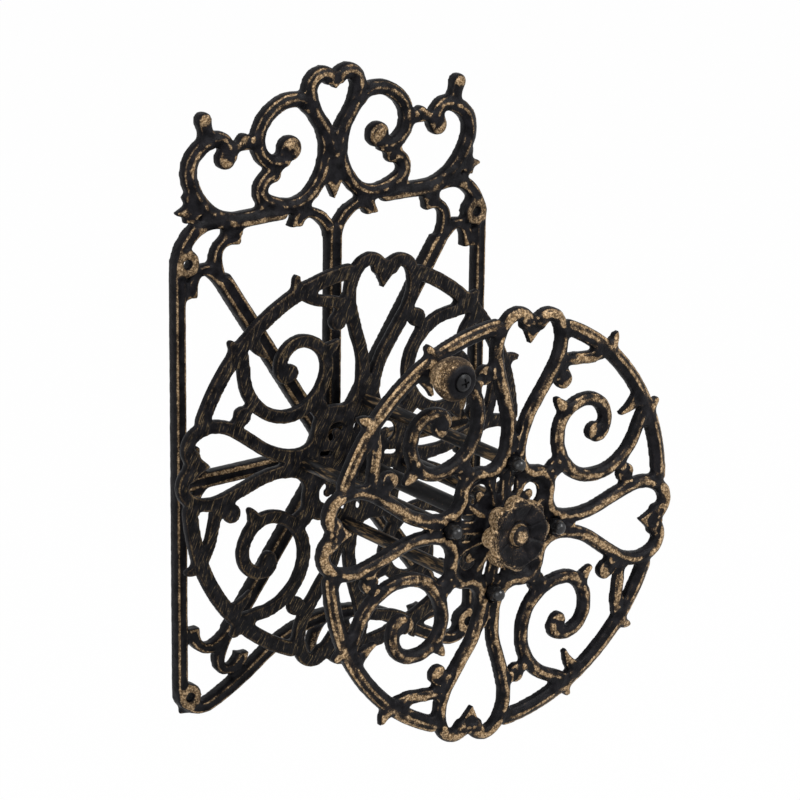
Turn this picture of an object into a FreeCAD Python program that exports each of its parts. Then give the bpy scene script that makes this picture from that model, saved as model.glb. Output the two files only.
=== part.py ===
import FreeCAD, Part
import math
import os
import Sketcher
from FreeCAD import Placement, Rotation, Vector

doc = FreeCAD.newDocument("hose_hanger")

# Driving dimensions in millimetres and degrees.
driving = {
    # Wall plate: the screw holes, the frame round them and the bars inside it.
    "hole_spacing_x": 208.0,
    "hole_spacing_z": 264.0,
    "screw_hole_dia": 5.5,
    "screw_boss_dia": 16.0,
    "screw_boss_height": 9.0,
    "rail_outset": 4.5,
    "rail_width": 8.6,
    "plate_height": 8.4,
    "plate_edge": 6.2,
    "spoke_width": 10.8,
    "hook_width": 7.2,
    "scroll_width": 9.6,
    "bar_groove": 1.4,
    "scroll_groove": 2.4,
    "top_rise": 19.5,
    "plate_hub_dia": 36.0,
    "plate_hub_height": 12.8,
    "foot_width": 7.0,
    "foot_drop": 2.5,
    "foot_thick": 3.0,
    # Axle, fixed in the wall plate, and what holds the reel on it.
    "axle_dia": 10.0,
    "running_gap": 0.05,
    "seat_gap": 0.02,
    "lock_nut_across": 17.0,
    "lock_nut_thick": 5.2,
    "washer_dia": 22.0,
    "washer_thick": 1.5,
    "end_play": 0.3,
    "rosette_dia": 43.0,
    "rosette_petals": 8.0,
    "rosette_thick": 10.4,
    "rosette_dome": 1.0,
    "rosette_thread": 7.6,
    "rosette_dish": 3.0,
    "petal_groove_width": 1.5,
    "petal_groove_depth": 1.1,
    # Reel: two castings turned back to back, on four rods.
    "reel_turn": 9.7,
    "drum_length": 130.3,
    "rim_radius": 117.5,
    "rim_width": 9.3,
    "stroke_width": 8.1,
    "flange_height": 7.2,
    "flange_edge": 4.6,
    "flange_groove": 1.7,
    "flange_hub_dia": 70.0,
    "hub_web": 3.0,
    "hub_vein_width": 2.6,
    "collar_dia": 24.0,
    "collar_height": 10.8,
    "rod_circle_radius": 37.5,
    "rod_dia": 8.0,
    "rod_thread_dia": 5.0,
    "nut_pad_dia": 10.6,
    "nut_pad_height": 4.6,
    "rod_nut_across": 8.0,
    "rod_nut_thick": 4.0,
    "thread_spare": 1.0,
    "acorn_dome_dia": 7.7,
    "acorn_height": 9.6,
    "acorn_wall": 2.0,
    # Crank knob on the rim of the front casting.
    "knob_dia": 24.5,
    "knob_length": 22.2,
    "knob_neck_dia": 12.0,
    "knob_face_dia": 16.2,
    "knob_recess_dia": 10.6,
    "knob_recess_depth": 0.8,
    "knob_pad_dia": 13.0,
    "knob_screw_dia": 5.0,
    "knob_head_dia": 9.6,
    "knob_head_height": 2.9,
    "knob_washer_dia": 10.0,
    "knob_washer_thick": 1.0,
    "knob_nut_across": 8.0,
    "knob_nut_thick": 4.0,
}

sheet = doc.addObject("Spreadsheet::Sheet", "dims")
for row, (alias, value) in enumerate(driving.items(), start=1):
    sheet.set(f"A{row}", alias)
    sheet.set(f"B{row}", str(value))
    sheet.setAlias(f"B{row}", alias)
doc.recompute()


class Size:
    """A length that knows its number and the sheet expression it comes from."""

    def __init__(self, value, text):
        self.value = value
        self.text = text

    def combine(self, other, sign, value):
        return Size(value, f"({self.text} {sign} {as_size(other).text})")

    def __add__(self, other):
        return self.combine(other, "+", self.value + as_size(other).value)

    def __sub__(self, other):
        return self.combine(other, "-", self.value - as_size(other).value)

    def __mul__(self, other):
        return self.combine(other, "*", self.value * as_size(other).value)

    def __truediv__(self, other):
        return self.combine(other, "/", self.value / as_size(other).value)

    def __float__(self):
        return self.value


def as_size(item):
    return item if isinstance(item, Size) else Size(float(item), repr(float(item)))


size = {alias: Size(float(sheet.get(alias)), f"dims.{alias}") for alias in driving}
zero = as_size(0)


def bind(obj, **sizes):
    for name, item in sizes.items():
        obj.setExpression(name, as_size(item).text)


# Pieces stand with their axis along Z and are then laid over to point at the viewer (-Y).
facing = Rotation(Vector(1, 0, 0), 90)
reel_turn = Rotation(Vector(0, 1, 0), float(size["reel_turn"]))


def wall_place(depth, x=0.0, z=0.0):
    return Placement(Vector(x, -float(depth), z), facing)


def reel_place(depth, x=0.0, y=0.0, flip=False):
    turned_in = Rotation(Vector(0, 0, 1), 180) if flip else Rotation()
    spot = reel_turn.multVec(turned_in.multVec(Vector(x, 0, y)))
    return Placement(spot + Vector(0, -float(depth), 0), reel_turn * turned_in * facing)


# Lathe-turned pieces: a closed outline of (radius, height) corners, revolved about Z.
# A third entry rounds the edge that arrives at the corner; a negative one hollows it.
def corner_point(corner):
    return Vector(float(corner[0]), float(corner[1]), 0)


def turned_edge(start, end, radius):
    if radius is None:
        return Part.LineSegment(start, end), (1, 2)
    reach = abs(float(radius))
    chord = end - start
    left = Vector(-chord.y, chord.x, 0).normalize()
    rise = math.sqrt(reach ** 2 - (chord.Length / 2) ** 2)
    convex = float(radius) > 0
    centre = (start + end) * 0.5 + left * (rise if convex else -rise)
    first, last = (start, end) if convex else (end, start)
    angles = [math.atan2(p.y - centre.y, p.x - centre.x) for p in (first, last)]
    circle = Part.Circle(centre, Vector(0, 0, 1), reach)
    return Part.ArcOfCircle(circle, *angles), ((1, 2) if convex else (2, 1))


def plane_of(body, role):
    return next(f for f in body.Origin.OriginFeatures if f.Role == role)


def turned_body(name, corners):
    corners = [tuple(as_size(c) if c is not None else None for c in corner) for corner in corners]
    body = doc.addObject("PartDesign::Body", name)
    sketch = body.newObject("Sketcher::SketchObject", name + "_profile")
    sketch.AttachmentSupport = [(plane_of(body, "XZ_Plane"), "")]
    sketch.MapMode = "FlatFace"
    ends = []
    for index, corner in enumerate(corners):
        after = corners[(index + 1) % len(corners)]
        radius = after[2] if len(after) > 2 else None
        edge, order = turned_edge(corner_point(corner), corner_point(after), radius)
        sketch.addGeometry(edge, False)
        ends.append(order)
        if radius is not None:
            bound = radius if float(radius) > 0 else zero - radius
            number = sketch.addConstraint(Sketcher.Constraint("Radius", index, abs(float(radius))))
            sketch.setExpression(f"Constraints[{number}]", bound.text)
    for index, corner in enumerate(corners):
        before = index - 1 if index else len(corners) - 1
        joined = (before, ends[before][1], index, ends[index][0])
        sketch.addConstraint(Sketcher.Constraint("Coincident", *joined))
        for kind, item, axis in (("DistanceX", corner[0], -2), ("DistanceY", corner[1], -1)):
            if abs(float(item)) < 1e-9:
                sketch.addConstraint(Sketcher.Constraint("PointOnObject", index, ends[index][0], axis))
                continue
            rule = Sketcher.Constraint(kind, -1, 1, index, ends[index][0], float(item))
            sketch.setExpression(f"Constraints[{sketch.addConstraint(rule)}]", item.text)
    spin = body.newObject("PartDesign::Revolution", name + "_turned")
    spin.Profile = sketch
    spin.ReferenceAxis = (sketch, ["V_Axis"])
    spin.Angle = 360.0
    body.Tip = spin
    return body


def ring_body(name, outer_dia, inner_dia, thick):
    outer, inner = outer_dia / 2, inner_dia / 2
    return turned_body(name, [(inner, 0), (outer, 0), (outer, thick), (inner, thick)])


def cylinder(name, radius, height, place):
    post = doc.addObject("Part::Cylinder", name)
    bind(post, Radius=radius, Height=height)
    post.Placement = place
    return post


def hex_nut(name, across, thick, bore_dia, place):
    blank = doc.addObject("Part::Prism", name + "_blank")
    blank.Polygon = 6
    bind(blank, Circumradius=across / math.sqrt(3), Height=thick)
    blank.Placement = place
    bore = cylinder(name + "_bore", bore_dia / 2, thick, place)
    nut = doc.addObject("Part::Cut", name)
    nut.Base = blank
    nut.Tool = bore
    return nut


# Cast strokes: a roof-shaped section (base width, straight edge, ridge) carried along tangent arcs.
def flat(x, y, z=0.0):
    return Vector(x, y, z)


def unit(angle):
    return Vector(math.cos(angle), math.sin(angle), 0)


def heading_of(start, end):
    return math.atan2(end.y - start.y, end.x - start.x)


def tangent_arcs(points, heading):
    """Each step leaves along the last one's direction: (start, heading, turn, length)."""
    steps = []
    for start, end in zip(points[:-1], points[1:]):
        turn = 2 * (heading_of(start, end) - heading)
        turn = (turn + 2 * math.pi) % (4 * math.pi) - 2 * math.pi
        steps.append((start, heading, turn, (end - start).Length))
        heading += turn
    return steps, heading


def roof_profile(spot, across, width, height, edge, half=False, groove=0.0):
    outline = [(width / 2, 0), (width / 2, edge)]
    if half:
        outline += [(0, height), (0, 0)]
    elif groove:
        outline += [(width * 0.3, height), (0, height - groove), (-width * 0.3, height)]
        outline += [(-width / 2, edge), (-width / 2, 0)]
    else:
        outline += [(0, height), (-width / 2, edge), (-width / 2, 0)]
    corners = [spot + across * u + flat(0, 0, v) for u, v in outline]
    return Part.Face(Part.makePolygon(corners + corners[:1]))


def swung(face, centre, angle):
    axis = flat(0, 0, 1 if angle > 0 else -1)
    return face.revolve(centre, axis, math.degrees(abs(angle)))


def stroke(points, heading, width, height, edge, round_end=False, groove=0.0):
    steps, last_heading = tangent_arcs(points, heading)
    solids = []
    for start, along, turn, chord in steps:
        across = unit(along + math.pi / 2)
        face = roof_profile(start, across, width, height, edge, groove=groove)
        if abs(turn) < 1e-4:
            solids.append(face.extrude(unit(along) * chord))
        else:
            radius = chord / (2 * math.sin(turn / 2))
            solids.append(swung(face, start + across * radius, turn))
    if round_end:
        cap = roof_profile(points[-1], unit(last_heading + math.pi / 2), width, height, edge, half=True)
        solids.append(swung(cap, points[-1], -math.pi))
    return solids


def tapered(points, heading, widths, height, edge, groove=0.0):
    """A stroke whose width changes from point to point, lower where it is narrow."""
    steps, last_heading = tangent_arcs(points, heading)
    widest = max(widths)
    wires = []
    for number, (start, along, turn, chord) in enumerate(steps):
        shares = (0.0, 0.34, 0.67) if number < len(steps) - 1 else (0.0, 0.34, 0.67, 1.0)
        for share in shares:
            width = widths[number] + (widths[number + 1] - widths[number]) * share
            spot = start + unit(along + turn / 2) * chord * share
            if abs(turn) > 1e-4:
                reach = chord / (2 * math.sin(turn / 2))
                centre = start + unit(along + math.pi / 2) * reach
                spot = centre - unit(along + turn * share + math.pi / 2) * reach
            lower = 0.6 + 0.4 * width / widest
            across = unit(along + turn * share + math.pi / 2)
            face = roof_profile(spot, across, width, height * lower, edge * lower,
                                groove=groove * width / widest)
            wires.append(face.OuterWire)
    return Part.makeLoft(wires, True, True)


def bud(spot, radius, height, edge):
    """A round bead: straight edge, sloping shoulder and a small flat top."""
    crown = radius * 0.4
    outline = [(0, 0), (radius, 0), (radius, edge), (crown, height), (0, height)]
    corners = [spot + flat(u, 0, v) for u, v in outline]
    face = Part.Face(Part.makePolygon(corners + corners[:1]))
    return face.revolve(spot, flat(0, 0, 1), 360)


def slab(corners, height):
    return Part.Face(Part.makePolygon(corners + corners[:1])).extrude(flat(0, 0, height))


def mirrored(shape, normal):
    return shape.mirror(flat(0, 0), normal)


def closing_arc(spot, heading, diagonal):
    """The point where an arc centred on the symmetry line through the origin meets that line."""
    side = unit(heading + math.pi / 2)
    across = unit(diagonal + math.pi / 2)
    reach = -spot.dot(across) / side.dot(across)
    centre = spot + side * reach
    return centre + unit(diagonal) * abs(reach)


# One quarter of the reel casting, drawn on a rim of this many units and scaled to the real rim.
drawn_rim = 112.7
heart_side = [(2, 111), (9.5, 117.3), (18.5, 113), (22.2, 102), (19.8, 88.5), (10.5, 69.5), (4.6, 50)]
hub_flare = [(4.6, 42), (8, 34), (18.5, 30)]
spiral = [(91, 65), (87, 52), (76, 34), (57.5, 27), (38.5, 34.5), (30.5, 51), (36, 65.3), (49, 70.3)]
spiral_curl = [(61.5, 63), (62.3, 52.5), (57.5, 49.5)]
strut = [(21, 90.5), (40, 93), (58, 99)]
rim_leaf = [(53, 96.5), (59.5, 101.5), (60.4, 107.5)]
corner_leaf = [(87.5, 64), (95.5, 66), (99.8, 70)]
inner_leaf = [(84.5, 75), (81.5, 67), (73, 61)]
spiral_leaf = [(37, 62.5), (29.5, 66.8), (25.4, 71.5)]
heart_bead = (4.8, 112.8)
heart_tip = [(-7.5, 112), (0, 100.5), (7.5, 112), (0, 117.5)]
heart_buds = [((17.5, 85.5), (27.8, 81.5)), ((-18, 86), (-27.8, 84))]
spiral_bud = (32, 31.8)
spiral_ball = (55.8, 52)
knob_spot_drawn = (87, 63.5)
hub_rib = [(0, 9), (0, 36)]
hub_slot_spot = (17.5, 17.5)
hub_slit = (4.0, 18.5, 2.6, 9.0)
hub_vein_ends = (12.0, 30.0)
hub_vein_angles = (26.0, 64.0)
rim_ends = (12.0, 78.0)
drawing_scale = float(size["rim_radius"]) / drawn_rim


def drawn(pair):
    return flat(pair[0] * drawing_scale, pair[1] * drawing_scale)


def turned_copies(shapes):
    copies = []
    for quarter_turn in range(4):
        for shape in shapes:
            copy = shape.copy()
            copy.rotate(flat(0, 0), flat(0, 0, 1), 90 * quarter_turn)
            copies.append(copy)
    return copies


def flange_quarter():
    height, edge = float(size["flange_height"]), float(size["flange_edge"])
    width = float(size["stroke_width"])

    def line(pairs, heading, share=1.0, lower=1.0, **ends):
        points = [drawn(p) for p in pairs]
        return stroke(points, math.radians(heading), width * share, height * lower, edge, **ends)

    solids = []
    heart_start = math.radians(75)
    half_points = [drawn(p) for p in heart_side + hub_flare]
    last_heading = tangent_arcs(half_points, heart_start)[1]
    half_points.append(closing_arc(half_points[-1], last_heading, math.pi / 4))
    groove = float(size["flange_groove"])
    for solid in stroke(half_points, heart_start, width, height, edge, groove=groove):
        solids += [solid, mirrored(solid, flat(1, -1))]
    solids += line(spiral + spiral_curl, -112, lower=0.97, groove=groove)
    solids += line(strut, 14, share=0.9, lower=0.92, groove=groove)
    for leaf, way, root, tip in ((rim_leaf, 20, 1.0, 0.42), (corner_leaf, -8, 1.0, 0.42),
                                 (inner_leaf, -88, 0.95, 0.3), (spiral_leaf, 152, 1.0, 0.35)):
        widths = [width * root, width * 0.9, width * tip]
        points = [drawn(p) for p in leaf]
        solids.append(tapered(points, math.radians(way), widths, height * 0.96, edge))
    solids += line(hub_rib, 90, share=0.6, lower=0.8)
    for stem, spot in heart_buds:
        stem_way = math.degrees(heading_of(drawn(stem), drawn(spot)))
        solids += line([stem, spot], stem_way, share=0.7, lower=0.8)
    for spot in (spiral_bud, *(tip for stem, tip in heart_buds)):
        solids.append(bud(drawn(spot), width * 0.72, height * 0.98, edge))
    solids.append(bud(drawn(spiral_ball), width * 0.68, height, edge))
    for side in (1, -1):
        bead_spot = drawn((side * heart_bead[0], heart_bead[1]))
        solids.append(bud(bead_spot, width * 0.58, height * 1.02, edge))
    solids.append(slab([drawn(p) for p in heart_tip], height * 0.72))
    start, end = (math.radians(a) for a in rim_ends)
    rim_radius = float(size["rim_radius"])
    rim_width = float(size["rim_width"])
    rim_face = roof_profile(unit(start) * rim_radius, unit(start), rim_width, height * 0.95, edge)
    solids.append(swung(rim_face, flat(0, 0), end - start))
    pad_spot = flat(0, float(size["rod_circle_radius"]))
    pad_radius = float(size["nut_pad_dia"]) / 2
    solids.append(Part.makeCylinder(pad_radius, float(size["nut_pad_height"]), pad_spot))
    return solids[0].multiFuse(solids[1:]).removeSplitter()


def flange_hub():
    web_thick = float(size["hub_web"])
    web = Part.makeCylinder(float(size["flange_hub_dia"]) / 2, web_thick)
    ring_out, ring_in = 6.2 * drawing_scale, 2.8 * drawing_scale
    spot = drawn(hub_slot_spot)
    crescent = Part.makeCylinder(ring_out, web_thick, spot)
    crescent = crescent.cut(Part.makeCylinder(ring_in, web_thick, spot))
    half_corner = flat(-2 * ring_out, -0.3 * ring_out)
    outer_half = Part.makeBox(4 * ring_out, 2 * ring_out, web_thick, half_corner)
    outer_half.Placement = Placement(spot, Rotation(flat(0, 0, 1), -45)) * outer_half.Placement
    crescent = crescent.common(outer_half)
    left, low, wide, tall = (n * drawing_scale for n in hub_slit)
    slit = Part.makeBox(wide, tall, web_thick, flat(left, low))
    web = web.cut(turned_copies([crescent, slit, mirrored(slit, flat(1, -1))]))
    height, edge = float(size["flange_height"]) * 0.7, float(size["flange_edge"]) * 0.8
    veins = []
    for angle in hub_vein_angles:
        way = math.radians(angle)
        ends = [unit(way) * reach * drawing_scale for reach in hub_vein_ends]
        veins += stroke(ends, way, float(size["hub_vein_width"]), height, edge, round_end=True)
    return web.multiFuse(turned_copies(veins)).removeSplitter()


def casting(name, shape, place):
    piece = doc.addObject("Part::Feature", name)
    piece.Shape = shape
    piece.Placement = place
    return piece


def bored(name, base, posts):
    tools = doc.addObject("Part::MultiFuse", name + "_bores")
    tools.Shapes = posts
    piece = doc.addObject("Part::Cut", name)
    piece.Base = base
    piece.Tool = tools
    return piece


# Where things lie, as distances from the wall.
lock_nut_back = size["plate_hub_height"]
rear_washer_back = lock_nut_back + size["lock_nut_thick"]
rear_collar_face = rear_washer_back + size["washer_thick"] + size["end_play"]
rear_flat = rear_collar_face + size["collar_height"]
front_flat = rear_flat + size["drum_length"]
front_washer_back = front_flat + size["collar_height"] + size["end_play"]
rosette_back = front_washer_back + size["washer_thick"]
knob_pad_face = front_flat + size["flange_height"]
knob_base = knob_pad_face + size["end_play"]
rod_circle = float(size["rod_circle_radius"])
rod_angles = [math.pi / 2 * n for n in range(4)]
rod_spots = [(rod_circle * math.cos(a), rod_circle * math.sin(a)) for a in rod_angles]
knob_spot = (-drawn(knob_spot_drawn).y, drawn(knob_spot_drawn).x)

# Reel castings: the same casting twice, flat backs facing each other.
quarter = flange_quarter()
collar = Part.makeCylinder(float(size["collar_dia"]) / 2, float(size["collar_height"]))
plain_casting = flange_hub().multiFuse([collar] + turned_copies([quarter])).removeSplitter()
knob_pad_radius = float(size["knob_pad_dia"]) / 2
knob_pad = Part.makeCylinder(knob_pad_radius, float(size["flange_height"]), flat(*knob_spot))
crank_casting = plain_casting.fuse(knob_pad).removeSplitter()


def flange(name, shape, depth, flip, extra_holes):
    base = casting(name + "_casting", shape, reel_place(depth, flip=flip))
    axle_bore = size["axle_dia"] / 2 + size["running_gap"]
    rod_bore = size["rod_thread_dia"] / 2 + size["seat_gap"]
    holes = [(axle_bore, size["collar_height"], 0.0, 0.0)]
    holes += [(rod_bore, size["flange_height"] * 1.2, x, y) for x, y in rod_spots]
    holes += extra_holes
    posts = []
    for number, (radius, reach, x, y) in enumerate(holes):
        posts.append(cylinder(f"{name}_bore_{number}", radius, reach, reel_place(depth, x, y, flip)))
    toward = -1 if flip else 1
    for number, (x, y) in enumerate(rod_spots):
        seat = reel_place(float(depth) + toward * float(size["nut_pad_height"]), x, y, flip)
        posts.append(cylinder(f"{name}_nut_seat_{number}", size["nut_pad_dia"] / 2,
                              size["flange_height"], seat))
    return bored(name, base, posts)


knob_hole = (size["knob_screw_dia"] / 2 + size["seat_gap"], size["flange_height"] * 1.2, *knob_spot)
front_flange = flange("front_flange", crank_casting, front_flat, False, [knob_hole])
rear_flange = flange("rear_flange", plain_casting, rear_flat, True, [])

# Wall plate casting: right half drawn about the screw holes, the rails and the top rail.
half_x, half_z = float(size["hole_spacing_x"]) / 2, float(size["hole_spacing_z"]) / 2
rail_x = half_x + float(size["rail_outset"])
top_z = half_z + float(size["top_rise"])
scale_x, scale_z = rail_x / 105.3, 2 * half_z / 253.3


def up(dx, dz):
    return flat(half_x + dx * scale_x, half_z + dz * scale_z)


def low(dx, dz):
    return flat(half_x + dx * scale_x, -half_z + dz * scale_z)


def top(x, dz):
    return flat(x * scale_x, top_z + dz * scale_z)


def side(dx, z):
    return flat(rail_x + dx * scale_x, z * scale_z)


hub_point = flat(0, 0)
upper_fork = up(-24.9, -12.6)
lower_fork = low(-28.9, 32.1)
upper_way = math.degrees(heading_of(hub_point, upper_fork))
lower_way = math.degrees(heading_of(hub_point, lower_fork))


def plate_half():
    height, edge = float(size["plate_height"]), float(size["plate_edge"])
    rail, spoke = float(size["rail_width"]), float(size["spoke_width"])
    hook, scroll = float(size["hook_width"]), float(size["scroll_width"])
    groove = float(size["bar_groove"])
    hollow = float(size["scroll_groove"])

    def line(points, heading, width, lower=1.0, **ends):
        return stroke(points, math.radians(heading), width, height * lower, edge, **ends)

    def flared(points, heading):
        widths = [hook * 1.05] * (len(points) - 2) + [hook * 0.9, hook * 1.35]
        return tapered(points, math.radians(heading), widths, height * 0.95, edge, groove)

    solids = line([low(4.4, 6), up(4.4, -4.2), up(-2.0, 12.8), top(76, 0.6)], 90, rail, groove=groove)
    base = [low(4.4, 6), low(-2.9, -6.9), low(-15.9, -7.9), low(-50.9, 11.1)]
    last_heading = tangent_arcs(base, math.radians(-90))[1]
    base.append(closing_arc(base[-1], last_heading, math.pi / 2))
    solids += line(base, -90, rail, groove=groove)
    apex = base[-1]
    drops = ((3, -1), (9, -6), (13, -14), (11, -21))
    pendant = [apex + flat(x * scale_x, z * scale_z) for x, z in drops]
    solids += line(pendant, -25, hook * 0.9, 0.85, round_end=True)
    # Crest: outer scroll, the ring on each side of the heart, and the heart itself.
    outer = [top(34, 0.5), top(63, 0), top(86, 8.5), top(97, 27)]
    outer += [top(92.5, 41.5), top(82, 47), top(73, 43), top(71, 35)]
    solids += line(outer, 0, scroll, groove=hollow)
    ring_low = [top(18, 58), top(7, 43), top(5.6, 25), top(15, 8.5)]
    ring_low += [top(32, 3), top(47, 8.5), top(49, 17.5), top(41, 22)]
    solids += line(ring_low, -140, scroll * 0.95, 0.94, round_end=True, groove=hollow)
    ring_top = [top(17, 56), top(23, 61.5), top(34, 62), top(47, 54)]
    ring_top += [top(51.5, 40), top(43.5, 29.5), top(33, 30)]
    solids += line(ring_top, 65, scroll * 0.95, 0.97, groove=hollow)
    heart = [top(1, 69), top(7, 74.3), top(14, 72.5), top(16.8, 65), top(9.5, 48), top(1.5, 28)]
    solids += line(heart, 70, scroll, 1.05, groove=hollow)
    solids += line([top(50, 41.5), top(72, 41)], 0, hook * 0.85, 0.85)
    solids += line([top(85, 46), top(88, 58)], 80, scroll * 0.9, 0.9, round_end=True)
    for leaf, way, root in (([top(88, 12), top(97, 10), top(106, 9)], -14, 1.1),
                            ([top(92, 14), top(97, 15), top(100.5, 18.5)], 0, 0.8),
                            ([top(92, 9), top(97, 6.5), top(100.5, 3)], -10, 0.8)):
        widths = [hook * root, hook * root, hook * 0.25]
        solids.append(tapered(leaf, math.radians(way), widths, height * 0.9, edge))
    solids.append(bud(top(30.5, 35.5), scroll * 0.8, height * 1.06, edge))
    solids.append(bud(top(73.5, 35.5), scroll * 0.66, height * 1.04, edge))
    solids.append(bud(top(61, 43.5), scroll * 0.48, height * 0.95, edge))
    solids.append(bud(top(88, 58.5), scroll * 0.52, height * 0.97, edge))
    # Bars from the hub, each forking into small hooks at its outer end.
    solids += line([hub_point, upper_fork], upper_way, spoke, groove=groove)
    hook_up = [up(-25.9, -16.2), up(-20.8, -1.2), up(-25.6, 7.6), up(-37, 9.2)]
    solids.append(flared(hook_up, upper_way))
    solids += line([up(-28, 7), up(-29, 19)], 95, hook * 0.9, 0.82)
    hook_out = [up(-27.9, -19.2), up(-16.9, -7), up(-6.9, -8.6), up(-3.4, -20.5)]
    solids.append(flared(hook_out, upper_way))
    solids += line([hub_point, side(-1.5, 0)], 0, spoke * 0.92, 0.96, groove=groove)
    for sense in (1, -1):
        prong = [side(-25.3, 0), side(-12.3, 7 * sense), side(-10.6, 18 * sense)]
        solids += line(prong, 0, hook * 0.87, 0.88, round_end=True)
    solids += line([hub_point, lower_fork], lower_way, spoke, groove=groove)
    hook_rise = [low(-32.9, 37.1), low(-20.9, 26.6), low(-8.4, 28.2), low(-3.6, 40.1)]
    solids.append(flared(hook_rise, lower_way))
    hook_low = [low(-30.9, 35.1), low(-21.9, 18.1), low(-29.9, 9.1), low(-37.9, 18.1)]
    solids.append(flared(hook_low, lower_way))
    fork = [top(1.5, -21), top(8, -7), top(17, -2.5), top(26.5, -9.5)]
    solids.append(flared(fork, 90))
    boss_radius, boss_height = float(size["screw_boss_dia"]) / 2, float(size["screw_boss_height"])
    solids += [Part.makeCylinder(boss_radius, boss_height, spot) for spot in (up(0, 0), low(0, 0))]
    foot_wide, foot_drop = float(size["foot_width"]), float(size["foot_drop"])
    foot_spot = low(-2.5, -5.5)
    foot_low = foot_spot + flat(0, -rail / 2 - foot_drop)
    solids.append(Part.makeBox(foot_wide, foot_drop + rail / 2, float(size["foot_thick"]), foot_low))
    return solids[0].multiFuse(solids[1:]).removeSplitter()


half = plate_half()
plate_height, plate_edge = float(size["plate_height"]), float(size["plate_edge"])
middle_bar = stroke([hub_point, top(0, -12)], math.pi / 2, float(size["spoke_width"]),
                    plate_height * 0.98, plate_edge, groove=float(size["bar_groove"]))
drop_leaf = slab([top(0, 2.5), top(5.0, 12), top(0, 36), top(-5.0, 12)], plate_height * 0.8)
heart_seam = slab([top(0, 65), top(4.5, 70), top(0, 74), top(-4.5, 70)], plate_height * 0.9)
plate_hub = Part.makeCylinder(float(size["plate_hub_dia"]) / 2, float(size["plate_hub_height"]))
plate_solid = half.multiFuse([mirrored(half, flat(1, 0)), plate_hub, drop_leaf, heart_seam] + middle_bar)
plate_casting = casting("wall_plate_casting", plate_solid.removeSplitter(), wall_place(0))
plate_posts = [cylinder("wall_plate_axle_seat", size["axle_dia"] / 2 + size["seat_gap"],
                        size["plate_hub_height"], wall_place(0))]
for number, (x_sign, z_sign) in enumerate(((1, 1), (-1, 1), (-1, -1), (1, -1))):
    spot = wall_place(0, x_sign * half_x, z_sign * half_z)
    plate_posts.append(cylinder(f"screw_hole_{number}", size["screw_hole_dia"] / 2,
                                size["screw_boss_height"], spot))
wall_plate = bored("wall_plate", plate_casting, plate_posts)

# Axle and its fixed fittings.
axle_radius = size["axle_dia"] / 2
axle_length = rosette_back + size["rosette_thread"] - size["thread_spare"] / 2
axle_bevel = size["axle_dia"] * 0.08
axle = turned_body("axle", [
    (0, 0), (axle_radius, 0), (axle_radius, axle_length - axle_bevel),
    (axle_radius - axle_bevel, axle_length), (0, axle_length)])
axle.Placement = wall_place(0)
seat_dia = size["axle_dia"] + size["seat_gap"] * 2
axle_lock_nut = hex_nut("axle_lock_nut", size["lock_nut_across"], size["lock_nut_thick"], seat_dia,
                        wall_place(lock_nut_back))
rear_washer = ring_body("rear_washer", size["washer_dia"], seat_dia, size["washer_thick"])
rear_washer.Placement = wall_place(rear_washer_back)
front_washer = ring_body("front_washer", size["washer_dia"], seat_dia, size["washer_thick"])
front_washer.Placement = wall_place(front_washer_back)

petal_circle = size["rosette_dia"] * 0.36
petal_radius = size["rosette_dia"] * 0.14
rim_crest = size["rosette_dia"] * 0.41
rosette_waist = size["rosette_dia"] * 0.45
groove_out, groove_in = size["rosette_dia"] * 0.185, size["rosette_dia"] * 0.145
dish_floor = size["rosette_thick"] - size["rosette_dish"]
groove_floor = dish_floor - size["rosette_dia"] * 0.03
rosette_top = size["rosette_thick"] + size["rosette_dome"]
button_edge = dish_floor + size["rosette_dish"] * 0.4
dome_rise = rosette_top - button_edge
dome_bend = (groove_in * groove_in + dome_rise * dome_rise) / (dome_rise * 2)
rosette_blank = turned_body("rosette_blank", [
    (seat_dia / 2, 0), (petal_circle, 0),
    (rosette_waist, size["rosette_thick"] * 0.45, size["rosette_dia"] * 0.3),
    (rim_crest, size["rosette_thick"], size["rosette_dia"] * 0.25),
    (groove_out, dish_floor), (groove_out, groove_floor), (groove_in, groove_floor),
    (groove_in, button_edge), (0, rosette_top, dome_bend), (0, size["rosette_thread"]),
    (seat_dia / 2, size["rosette_thread"])])
petal_sketch = rosette_blank.newObject("Sketcher::SketchObject", "petal_outline")
petal_sketch.AttachmentSupport = [(plane_of(rosette_blank, "XY_Plane"), "")]
petal_sketch.MapMode = "FlatFace"
petal_centre = Vector(float(petal_circle), 0, 0)
petal_sketch.addGeometry(Part.Circle(petal_centre, Vector(0, 0, 1), float(petal_radius)), False)
petal_sketch.addConstraint(Sketcher.Constraint("PointOnObject", 0, 3, -1))
centred = Sketcher.Constraint("DistanceX", -1, 1, 0, 3, float(petal_circle))
centre_rule = petal_sketch.addConstraint(centred)
petal_sketch.setExpression(f"Constraints[{centre_rule}]", petal_circle.text)
radius_rule = petal_sketch.addConstraint(Sketcher.Constraint("Radius", 0, float(petal_radius)))
petal_sketch.setExpression(f"Constraints[{radius_rule}]", petal_radius.text)
petal = rosette_blank.newObject("PartDesign::Pad", "petal")
petal.Profile = petal_sketch
bind(petal, Length=size["rosette_thick"] * 0.8)
petals = rosette_blank.newObject("PartDesign::PolarPattern", "petals")
petals.Originals = [petal]
petals.Axis = (petal_sketch, ["N_Axis"])
petals.Angle = 360
bind(petals, Occurrences=size["rosette_petals"])
rosette_blank.Tip = petals
rosette_blank.Placement = wall_place(rosette_back)
petal_grooves = []
petal_count = int(float(size["rosette_petals"]))
dish_run = float(rim_crest - groove_out)
dish_slope = math.degrees(math.atan2(float(size["rosette_dish"]), dish_run))
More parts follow.
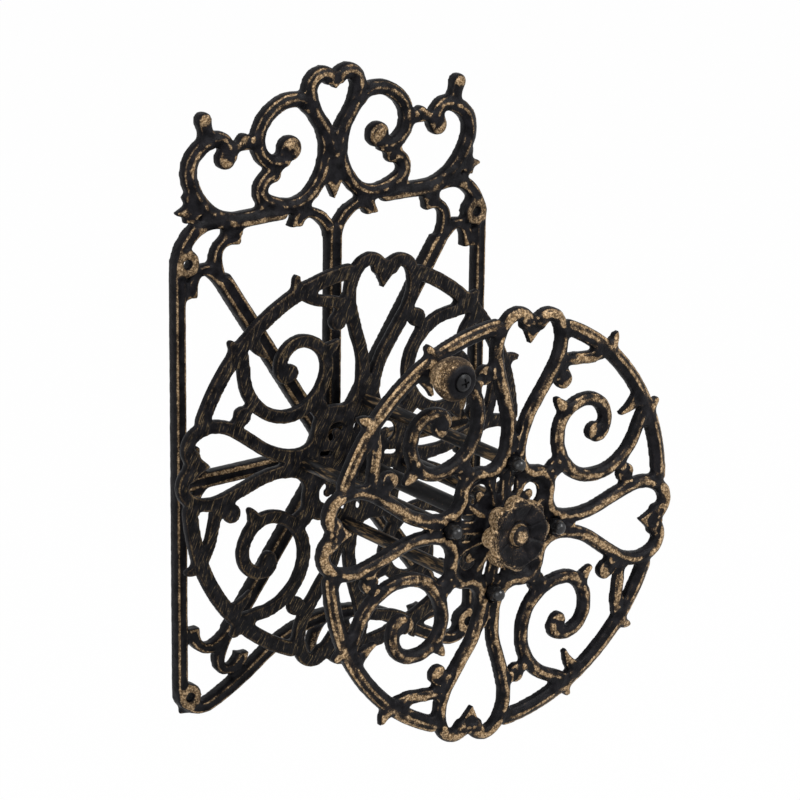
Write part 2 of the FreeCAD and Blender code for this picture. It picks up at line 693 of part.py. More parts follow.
for number in range(petal_count):
    groove = doc.addObject("Part::Box", f"petal_groove_{number}")
    bind(groove, Length=size["rosette_dia"] / 2, Width=size["petal_groove_width"],
         Height=size["rosette_thick"])
    spoke_turn = Rotation(Vector(0, 0, 1), 360.0 / petal_count * (number + 0.5))
    dish_tilt = Rotation(Vector(0, 1, 0), -dish_slope)
    corner = Vector(float(groove_out), -float(size["petal_groove_width"]) / 2,
                    float(dish_floor - size["petal_groove_depth"]))
    local = Placement(Vector(), spoke_turn) * Placement(corner, dish_tilt)
    groove.Placement = wall_place(rosette_back) * local
    petal_grooves.append(groove)
rosette = bored("rosette", rosette_blank, petal_grooves)

# Drum rods: thick between the castings, threaded through them at both ends.
rear_thread = size["nut_pad_height"] + size["rod_nut_thick"] + size["thread_spare"]
acorn_depth = size["acorn_height"] - size["acorn_wall"]
front_thread = size["nut_pad_height"] + acorn_depth - size["thread_spare"]
rod_radius, thread_radius = size["rod_dia"] / 2, size["rod_thread_dia"] / 2
rod_shoulder = rear_thread + size["drum_length"]
drum_rods = []
for number, (x, y) in enumerate(rod_spots, start=1):
    rod = turned_body(f"drum_rod_{number}", [
        (0, 0), (thread_radius, 0), (thread_radius, rear_thread), (rod_radius, rear_thread),
        (rod_radius, rod_shoulder), (thread_radius, rod_shoulder),
        (thread_radius, rod_shoulder + front_thread), (0, rod_shoulder + front_thread)])
    rod.Placement = reel_place(rear_flat - rear_thread, x, y)
    drum_rods.append(rod)

nut_bore_dia = size["rod_thread_dia"] + size["seat_gap"] * 2
rod_nut_back = rear_flat - size["nut_pad_height"] - size["rod_nut_thick"]
rear_nuts, front_nuts = [], []
dome_radius = size["acorn_dome_dia"] / 2
dome_start = size["acorn_height"] - dome_radius
for number, (x, y) in enumerate(rod_spots, start=1):
    rear_nuts.append(hex_nut(f"rear_nut_{number}", size["rod_nut_across"], size["rod_nut_thick"],
                             nut_bore_dia, reel_place(rod_nut_back, x, y)))
    seat = reel_place(front_flat + size["nut_pad_height"], x, y)
    skirt = hex_nut(f"acorn_skirt_{number}", size["rod_nut_across"], size["rod_nut_thick"],
                    nut_bore_dia, seat)
    dome = turned_body(f"acorn_dome_{number}", [
        (nut_bore_dia / 2, 0), (dome_radius, 0), (dome_radius, dome_start),
        (0, size["acorn_height"], dome_radius), (0, acorn_depth), (nut_bore_dia / 2, acorn_depth)])
    dome.Placement = seat
    acorn = doc.addObject("Part::MultiFuse", f"acorn_nut_{number}")
    acorn.Shapes = [skirt, dome]
    front_nuts.append(acorn)
rear_rod_nuts = doc.addObject("Part::Compound", "rear_rod_nuts")
rear_rod_nuts.Links = rear_nuts
acorn_nuts = doc.addObject("Part::Compound", "acorn_nuts")
acorn_nuts.Links = front_nuts

# Crank knob, turning on a shouldered screw held by a nut behind the rim.
knob_bore = size["knob_screw_dia"] / 2 + size["running_gap"]
recess_floor = size["knob_length"] - size["knob_recess_depth"]
knob_widest = size["knob_length"] * 0.62
knob = turned_body("knob", [
    (knob_bore, 0), (size["knob_neck_dia"] / 2, 0),
    (size["knob_neck_dia"] / 2, size["knob_length"] * 0.08),
    (size["knob_dia"] / 2, knob_widest, size["knob_length"]),
    (size["knob_face_dia"] / 2, size["knob_length"], size["knob_length"] * 0.45),
    (size["knob_recess_dia"] / 2, size["knob_length"]), (size["knob_recess_dia"] / 2, recess_floor),
    (knob_bore, recess_floor)])
knob.Placement = reel_place(knob_base, *knob_spot)

knob_nut_back = front_flat - size["knob_washer_thick"] - size["knob_nut_thick"]
screw_tip = knob_nut_back - size["thread_spare"]
head_under = knob_base + recess_floor + size["end_play"] - screw_tip
shank_radius, head_radius = size["knob_screw_dia"] / 2, size["knob_head_dia"] / 2
head_side = head_under + size["knob_head_height"] * 0.45
head_top = head_under + size["knob_head_height"]
head_rise = size["knob_head_height"] * 0.55
head_bend = (head_radius * head_radius + head_rise * head_rise) / (head_rise * 2)
screw_blank = turned_body("knob_screw_blank", [
    (0, 0), (shank_radius, 0), (shank_radius, head_under), (head_radius, head_under),
    (head_radius, head_side), (0, head_top, head_bend)])
screw_blank.Placement = reel_place(screw_tip, *knob_spot)
cross_arms = []
for turn in (0, 90):
    arm = doc.addObject("Part::Box", f"cross_arm_{turn}")
    arm_long, arm_wide = size["knob_head_dia"] * 0.56, size["knob_head_dia"] * 0.12
    bind(arm, Length=arm_long, Width=arm_wide, Height=size["knob_head_height"])
    local = Placement(Vector(0, 0, float(head_top - size["knob_head_height"] * 0.55)),
                      Rotation(Vector(0, 0, 1), turn + 20))
    centred = Placement(Vector(-float(arm_long) / 2, -float(arm_wide) / 2, 0), Rotation())
    arm.Placement = reel_place(screw_tip, *knob_spot) * local * centred
    cross_arms.append(arm)
knob_screw = bored("knob_screw", screw_blank, cross_arms)
screw_seat_dia = size["knob_screw_dia"] + size["seat_gap"] * 2
knob_washer = ring_body("knob_washer", size["knob_washer_dia"], screw_seat_dia,
                        size["knob_washer_thick"])
knob_washer.Placement = reel_place(front_flat - size["knob_washer_thick"], *knob_spot)
knob_nut = hex_nut("knob_nut", size["knob_nut_across"], size["knob_nut_thick"], screw_seat_dia,
                   reel_place(knob_nut_back, *knob_spot))

pieces = {
    "wall_plate": wall_plate, "axle": axle, "axle_lock_nut": axle_lock_nut, "rear_washer": rear_washer,
    "front_washer": front_washer, "rosette": rosette, "front_flange": front_flange,
    "rear_flange": rear_flange, "acorn_nuts": acorn_nuts, "rear_rod_nuts": rear_rod_nuts, "knob": knob,
    "knob_screw": knob_screw,
    "knob_washer": knob_washer, "knob_nut": knob_nut,
}
for number, rod in enumerate(drum_rods, start=1):
    pieces[f"drum_rod_{number}"] = rod

doc.recompute()
faults = [obj.Name for obj in doc.Objects if "Invalid" in obj.State or "Error" in obj.State]
for node, piece in pieces.items():
    piece.Label = node
    if piece.Shape.isNull() or not piece.Shape.isValid():
        faults.append(node)
if faults:
    raise RuntimeError("not built: " + ", ".join(faults))

os.makedirs("parts", exist_ok=True)
for node, piece in pieces.items():
    piece.Shape.exportStep(f"parts/{node}.step")
print("exported", len(pieces), "nodes")
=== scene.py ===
import math

import bmesh
import bpy
import numpy
from mathutils import Euler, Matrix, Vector
from mathutils.bvhtree import BVHTree


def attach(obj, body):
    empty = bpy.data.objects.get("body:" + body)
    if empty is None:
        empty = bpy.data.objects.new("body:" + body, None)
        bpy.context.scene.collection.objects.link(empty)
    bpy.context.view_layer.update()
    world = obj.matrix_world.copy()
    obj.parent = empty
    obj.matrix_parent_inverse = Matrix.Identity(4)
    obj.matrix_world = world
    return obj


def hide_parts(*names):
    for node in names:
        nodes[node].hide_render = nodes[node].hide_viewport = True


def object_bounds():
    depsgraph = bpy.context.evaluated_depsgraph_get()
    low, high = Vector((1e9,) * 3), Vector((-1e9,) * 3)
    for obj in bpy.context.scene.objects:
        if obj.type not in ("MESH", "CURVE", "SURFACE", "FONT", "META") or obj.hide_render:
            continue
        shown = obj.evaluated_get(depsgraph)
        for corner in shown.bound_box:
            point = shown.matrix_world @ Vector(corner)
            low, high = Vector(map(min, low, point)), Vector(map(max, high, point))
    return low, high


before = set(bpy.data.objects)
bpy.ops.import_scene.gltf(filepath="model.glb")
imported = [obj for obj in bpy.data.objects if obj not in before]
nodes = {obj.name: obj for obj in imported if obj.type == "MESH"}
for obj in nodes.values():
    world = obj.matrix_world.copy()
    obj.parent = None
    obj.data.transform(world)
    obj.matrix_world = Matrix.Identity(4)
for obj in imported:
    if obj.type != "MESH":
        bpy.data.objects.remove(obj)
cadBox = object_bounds()
scene = bpy.context.scene
mm = 0.001
white = (1.0, 1.0, 1.0, 1.0)
middle = 0.5  # a noise's own middle value
print("frame loaded:", len(nodes), "nodes")


class Tone:  # a shader socket that can be used in sums
    def __init__(self, finish, socket):
        self.finish = finish
        self.socket = socket

    def maths(self, operation, first, second):
        return self.finish.add("Math", {"operation": operation}, {0: first, 1: second})

    def __add__(self, other):
        return self.maths("ADD", self, other)

    def __radd__(self, other):
        return self.maths("ADD", other, self)

    def __sub__(self, other):
        return self.maths("SUBTRACT", self, other)

    def __rsub__(self, other):
        return self.maths("SUBTRACT", other, self)

    def __mul__(self, other):
        return self.maths("MULTIPLY", self, other)

    def __rmul__(self, other):
        return self.maths("MULTIPLY", other, self)

    def step(self, low, high):  # smooth step from 0 at low to 1 at high
        span = {"From Min": low, "From Max": high, "To Min": 0.0, "To Max": 1.0}
        return self.finish.add("MapRange", {"interpolation_type": "SMOOTHSTEP"}, {"Value": self, **span})

    def larger(self, other):
        return self.maths("MAXIMUM", self, other)


class Finish:  # one material or world and the nodes in it
    def __init__(self, holder):
        self.holder = holder
        holder.use_nodes = True
        self.tree = holder.node_tree
        self.tree.nodes.clear()

    def add(self, kind, settings=None, inputs=None, out=0):
        node = self.tree.nodes.new("ShaderNode" + kind)
        for key, value in (settings or {}).items():
            setattr(node, key, value)
        for key, value in (inputs or {}).items():
            if isinstance(value, Tone):
                self.tree.links.new(value.socket, node.inputs[key])
            else:
                node.inputs[key].default_value = value
        return Tone(self, node.outputs[out]) if len(node.outputs) else None

    def place(self):  # object coordinates in millimetres
        coords = self.add("TexCoord", out="Object")
        return self.add("VectorMath", {"operation": "SCALE"}, {0: coords, "Scale": 1.0 / mm})

    def turned(self, vector, degrees, sizes):  # turned in the disc's plane, then drawn out to these sizes
        inputs = {"Vector": vector, "Rotation": (0.0, math.radians(degrees), 0.0), "Scale": sizes}
        return self.add("Mapping", {"vector_type": "TEXTURE"}, inputs)

    def noise(self, vector, size, detail, rough):
        inputs = {"Vector": vector, "Scale": 1.0 / size, "Detail": detail, "Roughness": rough}
        return self.add("TexNoise", {}, inputs)

    def attribute(self, name):
        return self.add("Attribute", {"attribute_name": name}, out="Fac")

    def blend(self, factor, first, second):
        inputs = {0: factor, 6: first, 7: second}
        return self.add("Mix", {"data_type": "RGBA", "clamp_factor": True}, inputs, out=2)

    def bump(self, height, strength, distance):
        return self.add("Bump", {}, {"Height": height, "Strength": strength, "Distance": distance})

    def radius(self, vector):  # distance from the reel's axis
        apart = self.add("VectorMath", {"operation": "MULTIPLY"}, {0: vector, 1: (1.0, 0.0, 1.0)})
        return self.add("VectorMath", {"operation": "LENGTH"}, {0: apart}, out="Value")

    def close(self, shader, kind="OutputMaterial"):
        self.add(kind, {}, {"Surface": shader})
        return self.holder


def newFinish(name):
    return Finish(bpy.data.materials.new(name))


def shade(rgb):
    return (*rgb, 1.0)


# Sizes are in millimetres, and a span is where a smooth step starts and ends.
castLook = {
    "darkLow": (0.0025, 0.0024, 0.0031), "darkHigh": (0.0110, 0.0104, 0.0122), "darkSpan": (0.3, 0.7),
    "washTone": (0.075, 0.046, 0.023), "washReach": 0.42, "washShare": 0.6,
    "goldLow": (0.17, 0.104, 0.048), "goldHigh": (0.60, 0.425, 0.25), "goldShare": 0.94, "goldMetal": 0.3,
    "speckSize": 0.9, "patchSize": 6.0, "coverSize": 30.0, "glintSize": 1.3, "glintSpan": (0.36, 0.66),
    "speckPart": 0.46, "patchPart": 0.31, "coverPart": 0.23, "contrast": 2.9,
    "chipSize": 1.7, "chipShare": 0.82, "chipSpan": (0.40, 0.54),
    "base": 0.0, "faceGain": 0.16, "faceFrom": 0.62, "faceReach": 0.38,
    "ridgeGain": 0.95, "ridgeSpan": (0.15, 0.9), "ridgeFacing": (0.35, 0.8),
    "cover": 0.90, "soft": 0.19, "streak": 0.0, "button": 0.0, "buttonSpan": (2.5, 5.5),
    "rim": 0.0, "rimSpan": (115.5, 118.0), "rimFacing": (0.4, 0.9),
    "rimShade": 0.0, "rimInner": (111.0, 113.0),
    "grainSize": 0.9, "pitSize": 3.6, "pitShare": 1.4, "bumpStrength": 0.40, "bumpDepth": 0.6 * mm,
    "rough": 0.42, "grainRough": 0.25, "goldRough": 0.10, "shine": 0.07,
}
castNoise = {  # detail and roughness of each noise
    "speck": (4.0, 0.75), "patch": (3.0, 0.6), "cover": (2.0, 0.5), "glint": (2.0, 0.6),
    "chip": (3.0, 0.8), "grain": (3.0, 0.6), "pit": (2.0, 0.5),
}
streakLook = {
    "bendSize": 30.0, "bendNoise": (1.0, 0.5), "bendReach": 14.0, "turn": 25.0, "sizes": (0.55, 1.0, 8.0),
    "noise": (2.0, 0.6), "patchPart": 0.22, "span": (0.57, 0.72), "facing": (0.5, 0.9),
}


# Long brush marks, bent a little, on what faces front.
def brushMarks(finish, spot, patch, facing):
    bent = finish.noise(spot, streakLook["bendSize"], *streakLook["bendNoise"]) * streakLook["bendReach"]
    leaned = finish.add("CombineXYZ", {}, {"X": bent})
    drawnOut = finish.add("VectorMath", {"operation": "ADD"}, {0: spot, 1: leaned})
    brushed = finish.turned(drawnOut, streakLook["turn"], streakLook["sizes"])
    scratch = finish.noise(brushed, 1.0, *streakLook["noise"])
    lines = (scratch + (patch - middle) * streakLook["patchPart"]).step(*streakLook["span"])
    return lines * facing.step(*streakLook["facing"])


# Black paint on a sand-cast skin, with dull gold brushed over what stands proud.
def castIron(name, changes):
    look = {**castLook, **changes}
    finish = newFinish(name)
    spot = finish.place()
    fields = {label: finish.noise(spot, look[label + "Size"], *kind) for label, kind in castNoise.items()}
    patch, grain = fields["patch"], fields["grain"]
    facing = finish.attribute("facing")
    front = facing.step(look["faceFrom"], look["faceFrom"] + look["faceReach"])
    crest = finish.attribute("ridge").step(*look["ridgeSpan"]) * facing.step(*look["ridgeFacing"])
    lifted = look["base"] + front * look["faceGain"] + crest * look["ridgeGain"]
    if look["button"]:
        lifted = lifted + (1.0 - finish.radius(spot).step(*look["buttonSpan"])) * look["button"]
    if look["rim"]:
        away = finish.radius(spot)
        edge = away.step(*look["rimSpan"])
        lifted = lifted + edge * facing.step(*look["rimFacing"]) * look["rim"]
        lifted = lifted - (away.step(*look["rimInner"]) - edge) * look["rimShade"]  # inner half stays dark
    mottle = fields["speck"] * look["speckPart"] + patch * look["patchPart"]
    mottle = mottle + fields["cover"] * look["coverPart"]
    amount = lifted + (mottle - middle) * look["contrast"]
    gold = amount.step(look["cover"] - look["soft"], look["cover"] + look["soft"])
    wash = amount.step(look["cover"] - look["washReach"], look["cover"] + look["soft"])
    chips = fields["chip"].step(*look["chipSpan"])
    gold = gold * (1.0 - look["chipShare"] + chips * look["chipShare"])
    if look["streak"]:
        gold = gold.larger(brushMarks(finish, spot, patch, facing) * look["streak"])
    darkTone = finish.blend(patch.step(*look["darkSpan"]), shade(look["darkLow"]), shade(look["darkHigh"]))
    washed = finish.blend(wash * look["washShare"], darkTone, shade(look["washTone"]))
    glint = fields["glint"].step(*look["glintSpan"])
    goldTone = finish.blend(glint, shade(look["goldLow"]), shade(look["goldHigh"]))
    colour = finish.blend(gold * look["goldShare"], washed, goldTone)
    normal = finish.bump(grain + fields["pit"] * look["pitShare"], look["bumpStrength"], look["bumpDepth"])
    rough = look["rough"] + (grain - middle) * look["grainRough"] + gold * look["goldRough"]
    shader = finish.add("BsdfPrincipled", {}, {
        "Base Color": colour, "Roughness": rough, "Metallic": gold * look["goldMetal"], "Normal": normal,
        "Specular IOR Level": look["shine"],
    })
    return finish.close(shader)


paintLook = {
    "low": (0.0045, 0.0045, 0.0055), "high": (0.012, 0.0118, 0.0125), "toneSpan": (0.35, 0.65),
    "patchSizes": (6.0, 6.0, 6.0), "speckSizes": (0.9, 0.9, 0.9), "noise": (3.0, 0.6),
    "rub": (0.26, 0.17, 0.085), "rubFrom": 0.70, "rubSoft": 0.06, "rubShare": 0.9, "rubMetal": 0.4,
    "bumpStrength": 0.16, "bumpDepth": 0.4 * mm, "rough": 0.36, "speckRough": 0.25, "shine": 0.16,
}


# Satin black paint on turned steel, rubbed through to gold in places.
def blackPaint(name, **changes):
    look = {**paintLook, **changes}
    finish = newFinish(name)
    spot = finish.place()
    speck = finish.noise(finish.turned(spot, 0.0, look["speckSizes"]), 1.0, *look["noise"])
    patch = finish.noise(finish.turned(spot, 0.0, look["patchSizes"]), 1.0, *look["noise"])
    mean = (speck + patch) * 0.5
    rub = mean.step(look["rubFrom"] - look["rubSoft"], look["rubFrom"] + look["rubSoft"])
    paint = finish.blend(patch.step(*look["toneSpan"]), shade(look["low"]), shade(look["high"]))
    colour = finish.blend(rub * look["rubShare"], paint, shade(look["rub"]))
    normal = finish.bump(speck + patch, look["bumpStrength"], look["bumpDepth"])
    rough = look["rough"] + (speck - middle) * look["speckRough"]
    shader = finish.add("BsdfPrincipled", {}, {
        "Base Color": colour, "Roughness": rough, "Metallic": rub * look["rubMetal"], "Normal": normal,
        "Specular IOR Level": look["shine"],
    })
    return finish.close(shader)


class Tree:  # a Geometry Nodes group with named inputs
    def __init__(self, name, inputs):
        self.group = bpy.data.node_groups.new(name, "GeometryNodeTree")
        face = self.group.interface
        face.new_socket("Geometry", in_out="INPUT", socket_type="NodeSocketGeometry")
        for label, kind in inputs.items():
            face.new_socket(label, in_out="INPUT", socket_type="NodeSocket" + kind)
        face.new_socket("Geometry", in_out="OUTPUT", socket_type="NodeSocketGeometry")
        self.source = self.group.nodes.new("NodeGroupInput")
        self.sink = self.group.nodes.new("NodeGroupOutput")

    def put(self, kind, settings=None, inputs=None, out=0):
        node = self.group.nodes.new(kind)
        for key, value in (settings or {}).items():
            setattr(node, key, value)
        for key, value in (inputs or {}).items():
            if hasattr(value, "is_linked"):
                self.group.links.new(value, node.inputs[key])
            else:
                node.inputs[key].default_value = value
        return node.outputs[out]

    def given(self, label):
        return self.source.outputs[label]

    def maths(self, operation, first, second):
        return self.put("ShaderNodeMath", {"operation": operation}, {0: first, 1: second})

    def vectorMath(self, operation, inputs, out=0):
        return self.put("ShaderNodeVectorMath", {"operation": operation}, inputs, out)

    def blurred(self, kind, value, times):
        inputs = {"Value": value, "Iterations": times}
        return self.put("GeometryNodeBlurAttribute", {"data_type": kind}, inputs)

    def stored(self, geometry, name, value):
        inputs = {"Geometry": geometry, "Name": name, "Value": value}
        return self.put("GeometryNodeStoreNamedAttribute", {"data_type": "FLOAT", "domain": "POINT"}, inputs)

    def end(self, geometry):
        self.group.links.new(geometry, self.sink.inputs[0])
        return self.group


skinPlan = {"ridgeBlur": 1, "sandDetail": 2.0, "frontWay": (0.0, -1.0, 0.0)}


# Smooths a cast skin, roughens it like sand, and stores what stands proud and what faces front.
def castSkinTree():
    tree = Tree("castSkin", {
        "Smoothing": "Int", "Grain": "Float", "Grain Size": "Float", "Ridge Reach": "Int",
        "Ridge Height": "Float", "Material": "Material",
    })
    place = tree.put("GeometryNodeInputPosition")
    normal = tree.put("GeometryNodeInputNormal")
    eased = tree.blurred("FLOAT_VECTOR", place, tree.given("Smoothing"))
    body = tree.put("GeometryNodeSetPosition", {}, {"Geometry": tree.given("Geometry"), "Position": eased})
    wide = tree.blurred("FLOAT_VECTOR", place, tree.given("Ridge Reach"))
    apart = tree.vectorMath("SUBTRACT", {0: place, 1: wide})
    proud = tree.vectorMath("DOT_PRODUCT", {0: apart, 1: normal}, "Value")
    ridge = tree.maths("DIVIDE", proud, tree.given("Ridge Height"))
    body = tree.stored(body, "ridge", tree.blurred("FLOAT", ridge, skinPlan["ridgeBlur"]))
    facing = tree.vectorMath("DOT_PRODUCT", {0: normal, 1: skinPlan["frontWay"]}, "Value")
    body = tree.stored(body, "facing", facing)
    scaled = tree.maths("DIVIDE", 1.0, tree.given("Grain Size"))
    sandInputs = {"Vector": place, "Scale": scaled, "Detail": skinPlan["sandDetail"]}
    sand = tree.put("ShaderNodeTexNoise", {}, sandInputs)
    lift = tree.maths("MULTIPLY", tree.maths("SUBTRACT", sand, middle), tree.given("Grain"))
    shift = tree.vectorMath("SCALE", {0: normal, "Scale": lift})
    body = tree.put("GeometryNodeSetPosition", {}, {"Geometry": body, "Offset": shift})
    body = tree.put("GeometryNodeSetShadeSmooth", {}, {"Geometry": body})
    body = tree.put("GeometryNodeRealizeInstances", {}, {"Geometry": body})
    body = tree.put("GeometryNodeSetMaterial", {}, {"Geometry": body, "Material": tree.given("Material")})
    return tree.end(body)


castSkin = castSkinTree()
weldReach = 0.002 * mm  # corners this close are one corner


def setInputs(modifier, values):
    for item in modifier.node_group.interface.items_tree:
        if item.item_type == "SOCKET" and item.in_out == "INPUT" and item.name in values:
            modifier[item.identifier] = values[item.name]


def mergedCopy(node, name):
    mesh = nodes[node].data.copy()
    mesh.name = name
    work = bmesh.new()
    work.from_mesh(mesh)
    bmesh.ops.remove_doubles(work, verts=work.verts, dist=weldReach)
    work.to_mesh(mesh)
    work.free()
    mesh.materials.clear()
    if "custom_normal" in mesh.attributes:
        mesh.attributes.remove(mesh.attributes["custom_normal"])
    piece = bpy.data.objects.new(name, mesh)
    scene.collection.objects.link(piece)
    return piece


def freeze(piece):  # turns what the modifiers show into a plain mesh
    sight = bpy.context.evaluated_depsgraph_get()
    solid = bpy.data.meshes.new_from_object(piece.evaluated_get(sight))
    solid.name = piece.name
    piece.modifiers.clear()
    piece.data = solid


crownPlan = {
    "cell": 0.6 * mm, "marginCells": 8, "farOut": 1.0, "noMetal": -1.0,  # the grid of spots, in metres
    "reach": 3.6 * mm, "deepest": 2.8 * mm,  # half the width and the depth of the hollows that are filled
    "swell": 0.12, "drop": 0.80, "beside": 3.0 * mm, "touch": 0.25 * mm,
}


def frontHeights(mesh, front):  # how far the piece stands out over a grid of spots, seen from in front
    cell = crownPlan["cell"]
    margin = crownPlan["marginCells"] * cell
    work = bmesh.new()
    work.from_mesh(mesh)
    skin = BVHTree.FromBMesh(work)
    spots = numpy.array([v.co for v in work.verts])
    work.free()
    low = spots.min(axis=0) - margin
    counts = numpy.ceil((spots.max(axis=0) + margin - low) / cell).astype(int)
    heights = numpy.full((counts[0], counts[2]), crownPlan["noMetal"])
    inward = Vector((0.0, -front, 0.0))
    for column in range(counts[0]):
        for row in range(counts[2]):
            start = Vector((low[0] + column * cell, front * crownPlan["farOut"], low[2] + row * cell))
            met = skin.ray_cast(start, inward)[0]
            if met is not None:
                heights[column, row] = front * met.y
    return spots, low, heights


def swept(grid, reach, pick):  # the largest or least height within reach of each spot
    result = grid.copy()
    for column in range(-reach, reach + 1):
        for row in range(-reach, reach + 1):
            if column * column + row * row <= reach * reach:
                result = pick(result, numpy.roll(grid, (column, row), (0, 1)))
    return result


# Fills the hollow along each stroke and lowers its two edges, which leaves one low crown.
def crown(piece, front, above):
    cell = crownPlan["cell"]
    spots, low, heights = frontHeights(piece.data, front)
    reach = round(crownPlan["reach"] / cell)
    closed = swept(swept(heights, reach, numpy.maximum), reach, numpy.minimum)
    fill = numpy.where(heights > crownPlan["noMetal"], closed - heights, 0.0)
    fill[fill > crownPlan["deepest"]] = 0.0
    columns = numpy.rint((spots[:, 0] - low[0]) / cell).astype(int)
    rows = numpy.rint((spots[:, 2] - low[2]) / cell).astype(int)
    onFront = numpy.abs(front * spots[:, 1] - heights[columns, rows]) < crownPlan["touch"] + cell
    near = swept(fill, round(crownPlan["beside"] / cell), numpy.maximum)
    lift = fill * (1.0 + crownPlan["swell"]) - (near - fill) * crownPlan["drop"]
    lift = lift[columns, rows] * onFront * (spots[:, 2] > above)
    spots[:, 1] += front * lift
    piece.data.vertices.foreach_set("co", spots.ravel())
    piece.data.update()
    print(piece.name, "crowned at", int((lift > 0.0).sum()), "points")


castShape = {
    "voxel": 1.02, "smoothing": 2, "grain": 0.45, "grainSize": 5.0, "reach": 6, "height": 0.30,
    "crownFront": 0.0, "crownAbove": -1000.0,  # the crowned side's way along Y, and from what height up
}


def casting(node, name, body, plan):
    shape = {**castShape, **plan["shape"]}
    piece = mergedCopy(node, name)
    if shape["crownFront"]:
        crown(piece, shape["crownFront"], shape["crownAbove"] * mm)
    remesh = piece.modifiers.new("skin", "REMESH")
    remesh.mode = "VOXEL"
    remesh.voxel_size = shape["voxel"] * mm
    remesh.use_smooth_shade = True
    finishing = piece.modifiers.new("finish", "NODES")
    finishing.node_group = castSkin
    setInputs(finishing, {
        "Smoothing": shape["smoothing"], "Grain": shape["grain"] * mm, "Grain Size": shape["grainSize"] * mm,
        "Ridge Reach": shape["reach"], "Ridge Height": shape["height"] * mm,
        "Material": castIron(plan["finish"], plan["look"]),
    })
    freeze(piece)
    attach(piece, body)
    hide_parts(node)
    print(name, "triangles:", sum(len(p.vertices) - 2 for p in piece.data.polygons))


platePlan = {
    "finish": "plate_iron_finish",
    "look": {"cover": 1.02},
    "shape": {"voxel": 1.13, "crownFront": -1.0, "crownAbove": 150.0},  # only the crest is crowned
}
casting("wall_plate", "plate_casting", "wall_unit", platePlan)

frontDiscPlan = {
    "finish": "front_disc_finish",
    "look": {"cover": 0.82, "rim": 0.36, "rimShade": 0.40},
    "shape": {"crownFront": -1.0},
}
casting("front_flange", "front_disc_casting", "reel", frontDiscPlan)

rearDiscPlan = {
    "finish": "rear_disc_finish",
    "look": {
        "faceGain": 0.0, "ridgeGain": 0.75, "cover": 0.92, "streak": 0.75,
        "goldLow": (0.10, 0.072, 0.036), "goldHigh": (0.30, 0.215, 0.115),
    },
    "shape": {"crownFront": 1.0},
}
casting("rear_flange", "rear_disc_casting", "reel", rearDiscPlan)

brightGold = {"goldLow": (0.21, 0.13, 0.06), "goldHigh": (0.84, 0.60, 0.36)}  # the rosette and the knob
rosettePlan = {
    "finish": "rosette_finish",
    "look": {
        "base": 0.53, "faceGain": -0.56, "faceFrom": 0.40, "ridgeGain": 0.8, "contrast": 3.6, "cover": 0.44,
        "button": 0.5, "rim": 0.32, "rimSpan": (15.5, 20.5), **brightGold,
    },
    "shape": {"voxel": 0.5, "height": 0.4, "smoothing": 5, "grain": 0.15},
}
casting("rosette", "rosette_casting", "wall_unit", rosettePlan)

knobPlan = {
    "finish": "knob_finish",
    "look": {
        "base": 0.54, "faceGain": -1.2, "faceFrom": 0.55, "ridgeGain": 0.2, "cover": 0.70, "contrast": 4.6,
        "washReach": 0.8, "washShare": 0.9, "patchSize": 8.0, **brightGold,
    },
    "shape": {"voxel": 0.45, "height": 0.4, "grain": 0.12},
}
casting("knob", "knob_casting", "crank_knob", knobPlan)


def dress(material, names):
    for name in names:
        target = nodes[name]
        target.data.materials.clear()
        target.data.materials.append(material)


rodPaint = blackPaint("rod_finish", rubFrom=0.56, speckSizes=(1.2, 9.0, 1.2), patchSizes=(4.0, 30.0, 4.0))
axlePaint = blackPaint("axle_finish", rubFrom=0.64, patchSizes=(5.0, 20.0, 5.0))
nutPaint = blackPaint("nut_finish", rubFrom=0.80, rough=0.30, shine=0.42)
hardwarePaint = blackPaint("hardware_finish")
dress(rodPaint, [name for name in nodes if name.startswith("drum_rod")])
dress(axlePaint, ["axle"])
dress(nutPaint, ["acorn_nuts"])
dress(hardwarePaint, ["knob_screw", "knob_washer", "knob_nut"])
dress(hardwarePaint, ["axle_lock_nut", "rear_washer", "front_washer", "rear_rod_nuts"])
print("finishes set")

cameraPlan = {
    "place": (-1.10594, -1.50733, 0.64181), "turn": (71.8992, -0.8203, -37.3165),
    "lens": 149.3224, "sensor": 36.0, "nearest": 0.05, "farthest": 20.0,
}
lens = bpy.data.cameras.new("camera")
lens.lens = cameraPlan["lens"]
lens.sensor_width = cameraPlan["sensor"]
lens.clip_start = cameraPlan["nearest"]
lens.clip_end = cameraPlan["farthest"]
camera = bpy.data.objects.new("camera", lens)
camera.location = cameraPlan["place"]
camera.rotation_euler = Euler([math.radians(a) for a in cameraPlan["turn"]])
scene.collection.objects.link(camera)
scene.camera = camera

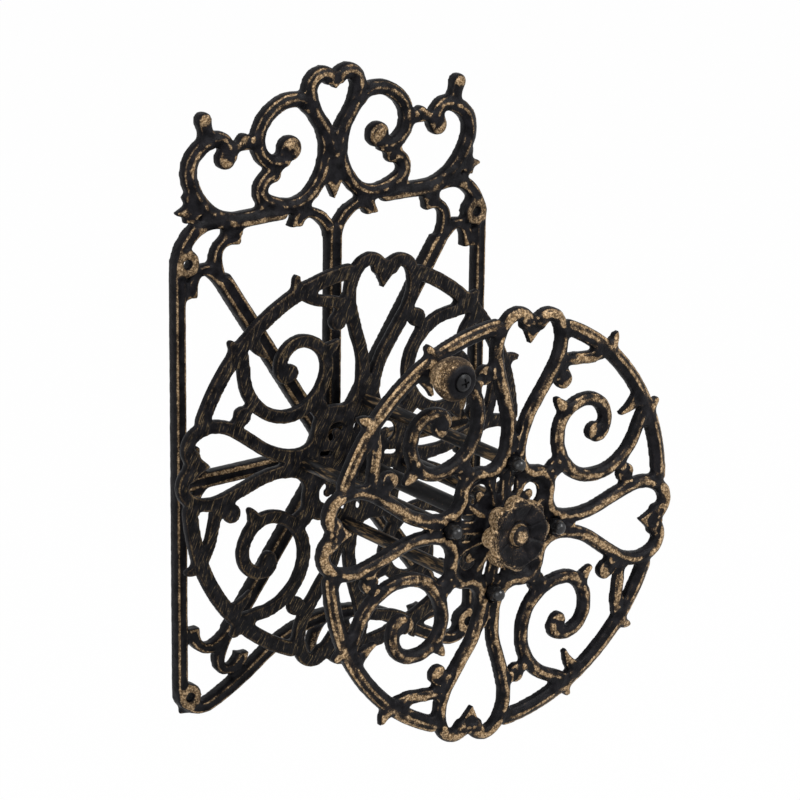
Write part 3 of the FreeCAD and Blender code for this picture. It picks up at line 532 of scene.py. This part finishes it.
stagePlan = {
    "floorDrop": 0.25, "floorSize": 12.0, "floorTone": (0.86, 0.86, 0.86), "floorGlow": 0.985,
    "worldLevel": 0.45,
}


def seenRays(finish):  # camera, glossy and transmission rays see plain white
    rays = [finish.add("LightPath", out=label)
            for label in ("Is Camera Ray", "Is Glossy Ray", "Is Transmission Ray")]
    return rays[0].larger(rays[1]).larger(rays[2])


floorMesh = bpy.data.meshes.new("floor")
half = stagePlan["floorSize"] / 2
low = cadBox[0].z - stagePlan["floorDrop"]
corners = [(-half, -half, low), (half, -half, low), (half, half, low), (-half, half, low)]
floorMesh.from_pydata(corners, [], [(0, 1, 2, 3)])
floor = bpy.data.objects.new("floor", floorMesh)
scene.collection.objects.link(floor)
floorFinish = newFinish("floor_finish")
paper = floorFinish.add("BsdfDiffuse", {}, {"Color": shade(stagePlan["floorTone"])})
glow = floorFinish.add("Emission", {}, {"Color": white, "Strength": 1.0})
seen = seenRays(floorFinish) * stagePlan["floorGlow"]
floorShader = floorFinish.add("MixShader", {}, {0: seen, 1: paper, 2: glow})
floorMesh.materials.append(floorFinish.close(floorShader))

world = bpy.data.worlds.new("studio")
scene.world = world
sky = Finish(world)
level = stagePlan["worldLevel"]
strength = seenRays(sky) * (1.0 - level) + level
backdrop = sky.add("Background", {}, {"Color": white, "Strength": strength})
sky.close(backdrop, "OutputWorld")

lampPlan = {
    "key": {"place": (0.7, -1.6, 1.6), "size": 1.0, "power": 42.0},
    "fill": {"place": (-1.8, -1.2, 0.7), "size": 1.4, "power": 16.0},
}
aim = Vector((0.0, -0.1, 0.03))
for label, plan in lampPlan.items():
    lamp = bpy.data.lights.new(label, "AREA")
    lamp.shape = "DISK"
    lamp.size = plan["size"]
    lamp.energy = plan["power"]
    holder = bpy.data.objects.new(label, lamp)
    holder.location = plan["place"]
    holder.rotation_euler = (aim - Vector(plan["place"])).to_track_quat("-Z", "Y").to_euler()
    scene.collection.objects.link(holder)

scene.view_settings.view_transform = "Standard"
print("camera, floor and lamps set")
